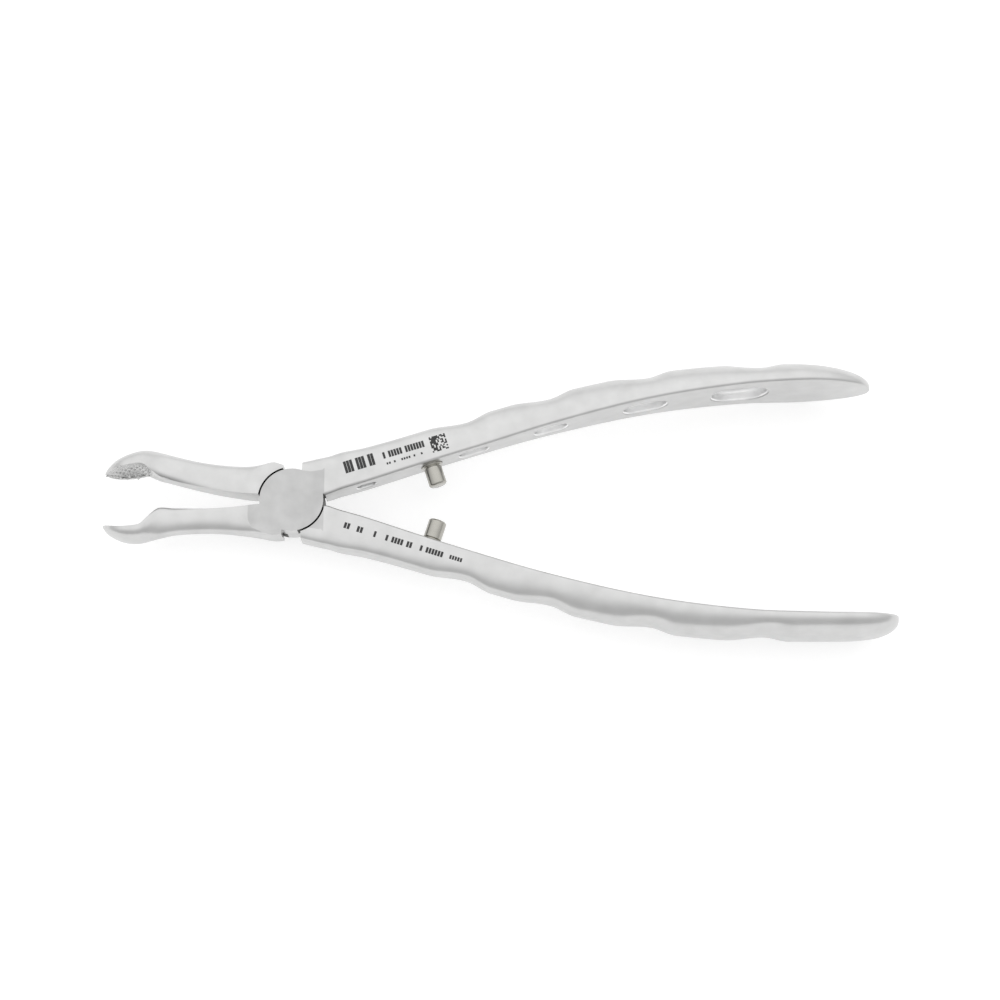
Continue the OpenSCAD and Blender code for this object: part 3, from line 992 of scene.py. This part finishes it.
class FORCEPS_OT_stop_posts(bpy.types.Operator):
    """Build both stop posts and the washers under them"""

    bl_idname = "forceps.stop_posts"
    bl_label = "Stop posts and washers"

    def execute(self, context):
        scene = context.scene
        posts = scene.forceps_posts
        thick = scene.forceps_joint.thickness / MM
        place, _ = on_inner_face(posts.place / MM, thick / 2)
        r, length, stud = posts.radius / MM, posts.length / MM, posts.stud_radius / MM
        t, wr = posts.washer_thickness / MM, posts.washer_radius / MM
        base = t - SEAT_DEPTH
        end, bottom = base + length, 0.1 - STUD_DEPTH
        post = [(0, bottom), (stud - 0.2, bottom), (stud, bottom + 0.2), (stud, base),
                (r - 0.4, base), (r - 0.4, base + 0.3), (r - 0.1, base + 0.36), (r, base + 0.48),
                (r, end - 0.36), (r - 0.05, end - 0.27), (r - 0.28, end - 0.04), (r - 0.38, end),
                (0, end)]
        ring = [(stud + 0.001, -SEAT_DEPTH), (wr - 0.12, -SEAT_DEPTH), (wr, 0.12 - SEAT_DEPTH),
                (wr, base - 0.12), (wr - 0.12, base), (stud + 0.001, base)]
        for body, turned in (("front_lever", False), ("rear_lever", True)):
            side = body.split("_")[0]
            mesh = finish_mesh(lathe("post", post, 96, place), 0.0005, 24)
            washer = finish_mesh(self.ring_mesh(ring, place), 0.0005, 24)
            for piece, name in ((mesh, f"{side}_stop_post"), (washer, f"{side}_post_washer")):
                if turned:
                    turn_over(piece, thick)
                add_piece(name + "_turned", piece, body,
                          [get_material("polished_post")], [name])
        return {"FINISHED"}

    def ring_mesh(self, profile, place, steps=96):
        """A closed ring turned about Z from a closed (radius, height) outline."""
        n = len(profile)
        points = np.array([circle(r, z, steps) for r, z in profile]).swapaxes(0, 1).reshape(-1, 3)
        faces = [(k * n + i, k * n + (i + 1) % n, (k + 1) % steps * n + (i + 1) % n,
                  (k + 1) % steps * n + i) for k in range(steps) for i in range(n)]
        return new_mesh("ring", place(points), faces)


class FORCEPS_OT_beak_teeth(bpy.types.Operator):
    """Cut the crossed rows of teeth inside both beaks"""

    bl_idname = "forceps.beak_teeth"
    bl_label = "Beak teeth"

    def execute(self, context):
        teeth = context.scene.forceps_teeth
        mid = context.scene.forceps_joint.thickness / 2
        tree, ids = tooth_tree()
        for lever, aim, clear, reach in (("rear_lever", 1.0, mid - 0.6 * MM, 4.3 * MM),
                                         ("front_lever", -1.0, 1.0, 2.4 * MM)):
            name = lever.split("_")[0] + "_beak_teeth"
            mesh = grow(tree, ids, name, {
                "Lever": bpy.data.objects[lever + "_forging"],
                "Centre": (-37.2 * MM, aim * 2 * MM, mid),
                "Aim": (0.0, aim, 0.0),
                "Pitch": teeth.pitch,
                "Height": teeth.height,
                "Rows": 15,
                "Clear From": -36.6 * MM,
                "Clear Above": clear,
                "Middle": mid,
                "Reach": reach,
                "Metal": get_material("satin_forging"),
            })
            add_piece(name, mesh, lever, [get_material("satin_forging")])
        return {"FINISHED"}


class FORCEPS_OT_laser_marks(bpy.types.Operator):
    """Lay generic dark marks on the fronts of both handles"""

    bl_idname = "forceps.laser_marks"
    bl_label = "Laser marks"

    def execute(self, context):
        tree, ids = mark_tree()
        rise = math.radians(17.3)
        # place, turn, length, height, columns, rows, share kept, size of a cell, seed
        blocks = {
            "front_lever": [((15.2, 8.2), rise, 7.6, 3.1, 11, 1, 0.75, 0.9, 4),
                            ((24.6, 11.2), rise, 9.6, 1.9, 15, 1, 0.7, 0.8, 9),
                            ((24.9, 9.2), rise, 9.6, 0.7, 17, 1, 0.75, 0.7, 3),
                            ((32.4, 12.8), rise, 3.7, 3.7, 11, 11, 0.64, 1.06, 6)],
            "rear_lever": [((13.5, -6.4), -rise, 5.2, 1.7, 7, 1, 0.8, 0.78, 2),
                           ((22.2, -9.1), -rise, 9.6, 1.7, 14, 1, 0.78, 0.78, 8),
                           ((31.0, -11.8), -rise, 5.4, 1.6, 8, 1, 0.75, 0.78, 5),
                           ((36.6, -13.5), -rise, 3.6, 1.2, 6, 1, 0.85, 0.75, 1)],
        }
        for lever, rows in blocks.items():
            name = lever.split("_")[0] + "_laser_marks"
            parts = []
            for i, (spot, turn, length, height, columns, lines, kept, gap, seed) in enumerate(rows):
                parts.append(grow(tree, ids, f"{name}_{i}", {
                    "Lever": bpy.data.objects[lever + "_forging"],
                    "Place": (spot[0] * MM, spot[1] * MM, MARK_FROM),
                    "Turn": turn,
                    "Length": length * MM,
                    "Height": height * MM,
                    "Columns": columns,
                    "Rows": lines,
                    "Kept": kept,
                    "Gap": gap,
                    "Seed": seed,
                    "Metal": get_material("laser_mark"),
                }))
            add_piece(name, join_meshes(name, parts), lever,
                      [get_material("laser_mark")])
        return {"FINISHED"}


# half the floor's side, and the gap between it and the forceps, in millimetres
FLOOR_HALF = 1500
FLOOR_GAP = 0.05


class FORCEPS_OT_stage(bpy.types.Operator):
    """Set the floor, the light and the camera"""

    bl_idname = "forceps.stage"
    bl_label = "Stage"

    def execute(self, context):
        scene = context.scene
        looks = scene.forceps_stage
        low = CAD_BOX[0].z / MM - FLOOR_GAP
        corners = [(-1, -1), (1, -1), (1, 1), (-1, 1)]
        mesh = new_mesh("floor", [(x * FLOOR_HALF, y * FLOOR_HALF, low) for x, y in corners],
                        [(0, 1, 2, 3)])
        mesh.materials.append(self.floor_material(looks))
        new_object("floor", mesh)
        self.sky(scene, looks)
        self.camera(scene, looks)
        scene.view_settings.view_transform = "Standard"
        return {"FINISHED"}

    def floor_material(self, looks):
        """Plain white sweep."""
        mat = bpy.data.materials.new("floor_white")
        mat.use_nodes = True
        shader = mat.node_tree.nodes["Principled BSDF"]
        shader.inputs["Base Color"].default_value = (0.6, 0.6, 0.6, 1)
        shader.inputs["Roughness"].default_value = 0.9
        shader.inputs["Specular IOR Level"].default_value = 0.1
        shader.inputs["Emission Color"].default_value = (1, 1, 1, 1)
        shader.inputs["Emission Strength"].default_value = looks.floor
        return mat

    def sky(self, scene, looks):
        """Light from all round: bright overhead and darker towards the sides."""
        world = bpy.data.worlds.new("studio")
        scene.world = world
        world.use_nodes = True
        tree = world.node_tree
        tree.nodes.clear()
        coords = add_node(tree, "ShaderNodeTexCoord")
        up = (0, math.sin(looks.lean), math.cos(looks.lean))
        height = add_node(tree, "ShaderNodeVectorMath", {0: coords.outputs["Generated"], 1: up},
                          operation="DOT_PRODUCT")
        half = add_node(tree, "ShaderNodeMapRange",
                        {"Value": height.outputs["Value"], "From Min": -1})
        stops = []
        for at, share in ((0.25, 0), (0.6, 0.15), (0.75, 0.45), (0.9, 0.85), (1.0, 1)):
            level = looks.horizon + (1 - looks.horizon) * share
            stops.append((at, (level, level, level, 1)))
        tone = add_ramp(tree, half.outputs["Result"], stops)
        light = add_node(tree, "ShaderNodeBackground", {"Color": tone, "Strength": looks.sky})
        add_node(tree, "ShaderNodeOutputWorld", {"Surface": light.outputs["Background"]})

    def camera(self, scene, looks):
        """Camera above the front, leaning towards the lower handle."""
        data = bpy.data.cameras.new("camera")
        data.sensor_width = 36
        data.lens = looks.lens
        data.clip_start, data.clip_end = 0.01, 10
        cam = bpy.data.objects.new("camera", data)
        scene.collection.objects.link(cam)
        x, y, z = looks.target
        back, up = math.sin(looks.tilt), math.cos(looks.tilt)
        cam.location = (x, y - looks.distance * back, z + looks.distance * up)
        cam.rotation_euler = (looks.tilt, 0, 0)
        scene.camera = cam


class FORCEPS_PT_panel(bpy.types.Panel):
    """Forceps pieces"""

    bl_idname = "FORCEPS_PT_panel"
    bl_label = "Forceps"
    bl_space_type = "VIEW_3D"
    bl_region_type = "UI"
    bl_category = "Forceps"

    def draw(self, context):
        for operator in OPERATORS:
            self.layout.operator(operator.bl_idname)
        for group in GROUPS:
            settings = getattr(context.scene, group)
            part = self.layout.box()
            part.label(text=type(settings).__doc__)
            for prop in settings.bl_rna.properties:
                if prop.identifier not in ("rna_type", "name"):
                    part.prop(settings, prop.identifier)


OPERATORS = [FORCEPS_OT_front_lever, FORCEPS_OT_rear_lever, FORCEPS_OT_pivot_screw,
             FORCEPS_OT_stop_posts, FORCEPS_OT_beak_teeth, FORCEPS_OT_laser_marks, FORCEPS_OT_stage]
GROUPS = {"forceps_joint": JointSizes, "forceps_levers": LeverSizes, "forceps_posts": PostSizes,
          "forceps_teeth": ToothSizes, "forceps_steel": SteelLooks, "forceps_stage": StageLooks}


def register():
    for cls in [*GROUPS.values(), *OPERATORS, FORCEPS_PT_panel]:
        bpy.utils.register_class(cls)
    for name, group in GROUPS.items():
        setattr(bpy.types.Scene, name, PointerProperty(type=group))


def unregister():
    for name in GROUPS:
        delattr(bpy.types.Scene, name)
    for cls in reversed([*GROUPS.values(), *OPERATORS, FORCEPS_PT_panel]):
        bpy.utils.unregister_class(cls)


def main():
    register()
    bpy.ops.forceps.stage()
    bpy.ops.forceps.front_lever()
    bpy.ops.forceps.rear_lever()
    bpy.ops.forceps.pivot_screw()
    bpy.ops.forceps.stop_posts()
    bpy.ops.forceps.beak_teeth()
    bpy.ops.forceps.laser_marks()


if __name__ == "__main__":
    main()
